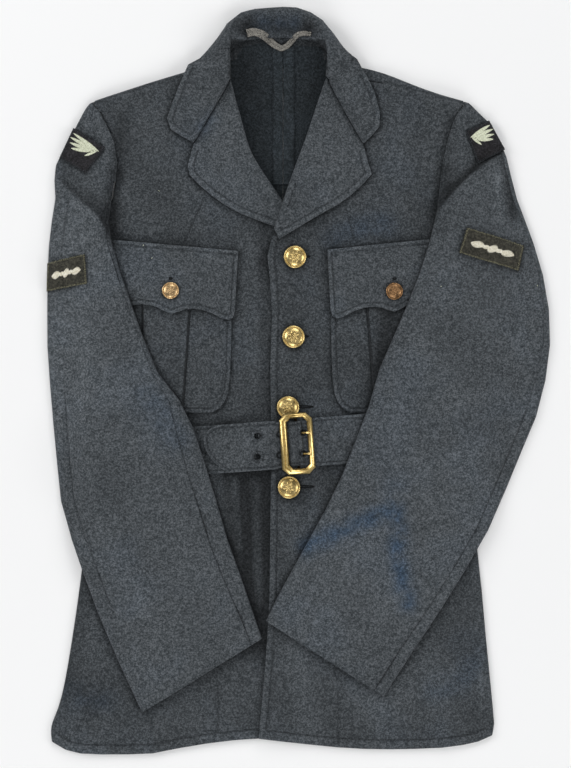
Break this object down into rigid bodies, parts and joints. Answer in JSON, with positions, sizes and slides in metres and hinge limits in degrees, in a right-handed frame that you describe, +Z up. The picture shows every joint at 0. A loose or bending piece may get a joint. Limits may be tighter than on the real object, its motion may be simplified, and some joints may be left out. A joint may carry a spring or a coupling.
{
  "type": "service dress tunic",
  "caption": "Belted wool uniform tunic with open collar, breast pockets and brass buttons, laid flat with its sleeves folded forward.",
  "frame": {"origin": "middle of the bounding box at the surface the tunic lies on", "axes": "+Z up from the surface to the fronts, +Y from the hem to the collar, +X towards the wearer's left side"},
  "size_m": [0.5242, 0.7772, 0.0324],
  "materials": {
    "back_left": "felted wool serge",
    "back_right": "felted wool serge",
    "front_left": "felted wool serge",
    "front_right": "felted wool serge",
    "lapel_left": "felted wool serge",
    "lapel_right": "felted wool serge",
    "collar": "felted wool serge",
    "top_sleeve_left": "felted wool serge",
    "top_sleeve_right": "felted wool serge",
    "under_sleeve_left": "felted wool serge",
    "under_sleeve_right": "felted wool serge",
    "pocket_left": "felted wool serge",
    "pocket_right": "felted wool serge",
    "flap_left": "felted wool serge",
    "flap_right": "felted wool serge",
    "belt": "felted wool serge",
    "buckle_frame": "worn polished brass",
    "prong_upper": "worn polished brass",
    "prong_lower": "worn polished brass",
    "button_front_1": "worn polished brass",
    "button_front_2": "worn polished brass",
    "button_front_3": "worn polished brass",
    "button_front_4": "worn polished brass",
    "button_flap_left": "worn polished brass",
    "button_flap_right": "worn polished brass",
    "hanger_loop": "twisted cotton tape",
    "shoulder_patch_left": "dark cloth with pale thread",
    "shoulder_patch_right": "dark cloth with pale thread",
    "sleeve_badge_left": "dark felt with pale thread",
    "sleeve_badge_right": "dark felt with pale thread"
  },
  "bodies": {
    "root": {"back_left": "back_left", "back_right": "back_right", "front_left": "front_left", "front_right": "front_right", "lapel_left": "lapel_left", "lapel_right": "lapel_right", "collar": "collar", "top_sleeve_left": "top_sleeve_left", "top_sleeve_right": "top_sleeve_right", "under_sleeve_left": "under_sleeve_left", "under_sleeve_right": "under_sleeve_right", "pocket_left": "pocket_left", "pocket_right": "pocket_right", "flap_left": "flap_left", "flap_right": "flap_right", "belt": "belt", "buckle_frame": "buckle_frame", "prong_upper": "prong_upper", "prong_lower": "prong_lower", "button_front_1": "button_front_1", "button_front_2": "button_front_2", "button_front_3": "button_front_3", "button_front_4": "button_front_4", "button_flap_left": "button_flap_left", "button_flap_right": "button_flap_right", "hanger_loop": "hanger_loop", "shoulder_patch_left": "shoulder_patch_left", "shoulder_patch_right": "shoulder_patch_right", "sleeve_badge_left": "sleeve_badge_left", "sleeve_badge_right": "sleeve_badge_right"}
  },
  "joints": []
}
